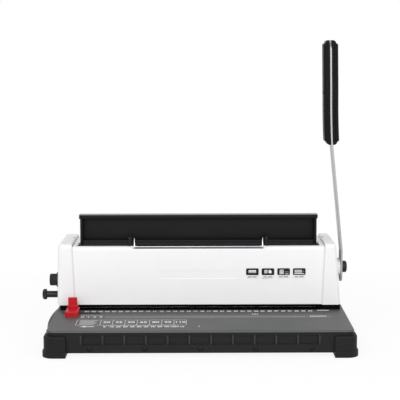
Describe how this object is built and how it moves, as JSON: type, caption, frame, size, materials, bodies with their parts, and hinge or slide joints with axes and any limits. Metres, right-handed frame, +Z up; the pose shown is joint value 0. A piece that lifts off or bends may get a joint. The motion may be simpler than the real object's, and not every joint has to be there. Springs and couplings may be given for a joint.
{
  "type": "desk punch and wire binding machine",
  "caption": "Desk machine with a long lever that punches a row of square holes in a sheet's edge and closes wire loops in the channel on top.",
  "frame": {"origin": "on the desk, under the middle of the whole machine's width and depth", "axes": "+X to the operator's right along the hole row, +Y away from the operator, +Z up"},
  "size_m": [0.39, 0.2296, 0.3684],
  "materials": {
    "cover_white": "smooth satin powder coat",
    "cap_white": "smooth moulded, half gloss",
    "table_black": "fine textured powder coat",
    "base_black": "moulded, fine grain",
    "shoe_rubber": "moulded, matt",
    "drawer_black": "moulded, fine grain",
    "closer_black": "satin powder coat",
    "jaw_black": "satin powder coat",
    "guide_red": "smooth moulded",
    "grip_black": "moulded, satin",
    "knob_black": "moulded, fine grain",
    "badge_black": "printed plate",
    "bar_plated": "bright plated, lightly brushed",
    "bail_plated": "bright plated",
    "steel_bright": "ground",
    "tool_black": "black oxide, matt",
    "steel_dark": "black oxide",
    "steel_zinc": "zinc plated",
    "bush_brass": "turned",
    "spring_steel": "drawn wire",
    "rod_black": "black oxide, half gloss"
  },
  "bodies": {
    "machine_frame": {"apron_screws": "steel_dark", "badges": "badge_black", "base_tray": "base_black", "bottom_plate": "steel_zinc", "corner_shoe_front_left": "shoe_rubber", "corner_shoe_front_right": "shoe_rubber", "corner_shoe_rear_left": "shoe_rubber", "corner_shoe_rear_right": "shoe_rubber", "die_plate": "tool_black", "end_cap_left": "cap_white", "end_cap_right": "cap_white", "floor_screws": "steel_dark", "foot_screws": "steel_dark", "frame_screws": "steel_dark", "front_cover": "cover_white", "housing_sill_left": "base_black", "housing_sill_right": "base_black", "jaw_beam": "steel_zinc", "lower_jaw": "jaw_black", "punch_guide": "tool_black", "rear_cover": "cover_white", "rear_screws": "steel_dark", "roof_screws": "steel_dark", "shaft_bush_left": "bush_brass", "shaft_bush_right": "bush_brass", "side_frame_left": "tool_black", "side_frame_right": "tool_black", "tie_bar": "steel_zinc", "tie_rod": "steel_zinc", "work_table": "table_black"},
    "handle": {"main_shaft": "steel_bright", "shaft_rings": "spring_steel", "shaft_collar": "steel_zinc", "closer_pinions": "steel_bright", "handle_bar": "bar_plated", "grip_half_inner": "grip_black", "grip_half_outer": "grip_black", "grip_rivets": "steel_dark", "pivot_bolt": "steel_dark", "pivot_cap": "knob_black"},
    "punch": {"punch_pins": "steel_bright", "punch_beam": "steel_dark", "pin_keeper": "steel_zinc", "punch_racks": "steel_bright", "return_springs": "spring_steel"},
    "closer": {"closer_jaw": "closer_black", "closer_racks": "steel_bright", "rack_screws": "steel_dark"},
    "selector": {"selector_knob": "knob_black", "selector_shaft": "steel_zinc", "selector_cam": "steel_bright"},
    "margin": {"margin_bar": "steel_zinc", "margin_rod": "rod_black", "margin_rod_head": "knob_black"},
    "stop": {"back_stop": "steel_zinc"},
    "bail": {"wire_bail": "bail_plated"},
    "drawer": {"chip_drawer": "drawer_black", "drawer_grip": "drawer_black"},
    "guide": {"edge_guide": "guide_red", "edge_guide_clamp": "steel_zinc"}
  },
  "joints": [
    {"name": "handle_hinge", "type": "hinge", "parent": "machine_frame", "child": "handle", "pos_m": [0.0065, 0.044, 0.0794], "axis": [1, 0, 0], "range_deg": [0, 95], "stiffness_Nm_per_rad": 0.6, "springref_deg": -34.38},
    {"name": "punch_slide", "type": "slide", "parent": "machine_frame", "child": "punch", "axis": [0, 0, -1], "range_m": [0, 0.01335], "deforming": ["return_springs"]},
    {"name": "closer_slide", "type": "slide", "parent": "machine_frame", "child": "closer", "axis": [0, 0, -1], "range_m": [0, 0.0233]},
    {"name": "selector_hinge", "type": "hinge", "parent": "machine_frame", "child": "selector", "pos_m": [0.0065, 0.018, 0.0683], "axis": [1, 0, 0], "range_deg": [0, 270]},
    {"name": "margin_slide", "type": "slide", "parent": "machine_frame", "child": "margin", "axis": [-1, 0, 0], "range_m": [0, 0.008]},
    {"name": "stop_slide", "type": "slide", "parent": "machine_frame", "child": "stop", "axis": [0, 1, 0], "range_m": [0, 0.0021]},
    {"name": "bail_hinge", "type": "hinge", "parent": "machine_frame", "child": "bail", "pos_m": [0.0065, 0.0066, 0.1229], "axis": [-1, 0, 0], "range_deg": [0, 140]},
    {"name": "drawer_slide", "type": "slide", "parent": "machine_frame", "child": "drawer", "axis": [-1, 0, 0], "range_m": [0, 0.18]},
    {"name": "guide_slide", "type": "slide", "parent": "machine_frame", "child": "guide", "axis": [1, 0, 0], "range_m": [-0.0084, 0.0285]}
  ],
  "couplings": [
    {"joint": "punch_slide", "follows": "handle_hinge", "m_per_rad": 0.008},
    {"joint": "closer_slide", "follows": "handle_hinge", "m_per_rad": 0.014},
    {"joint": "stop_slide", "follows": "margin_slide", "ratio": 0.25}
  ]
}
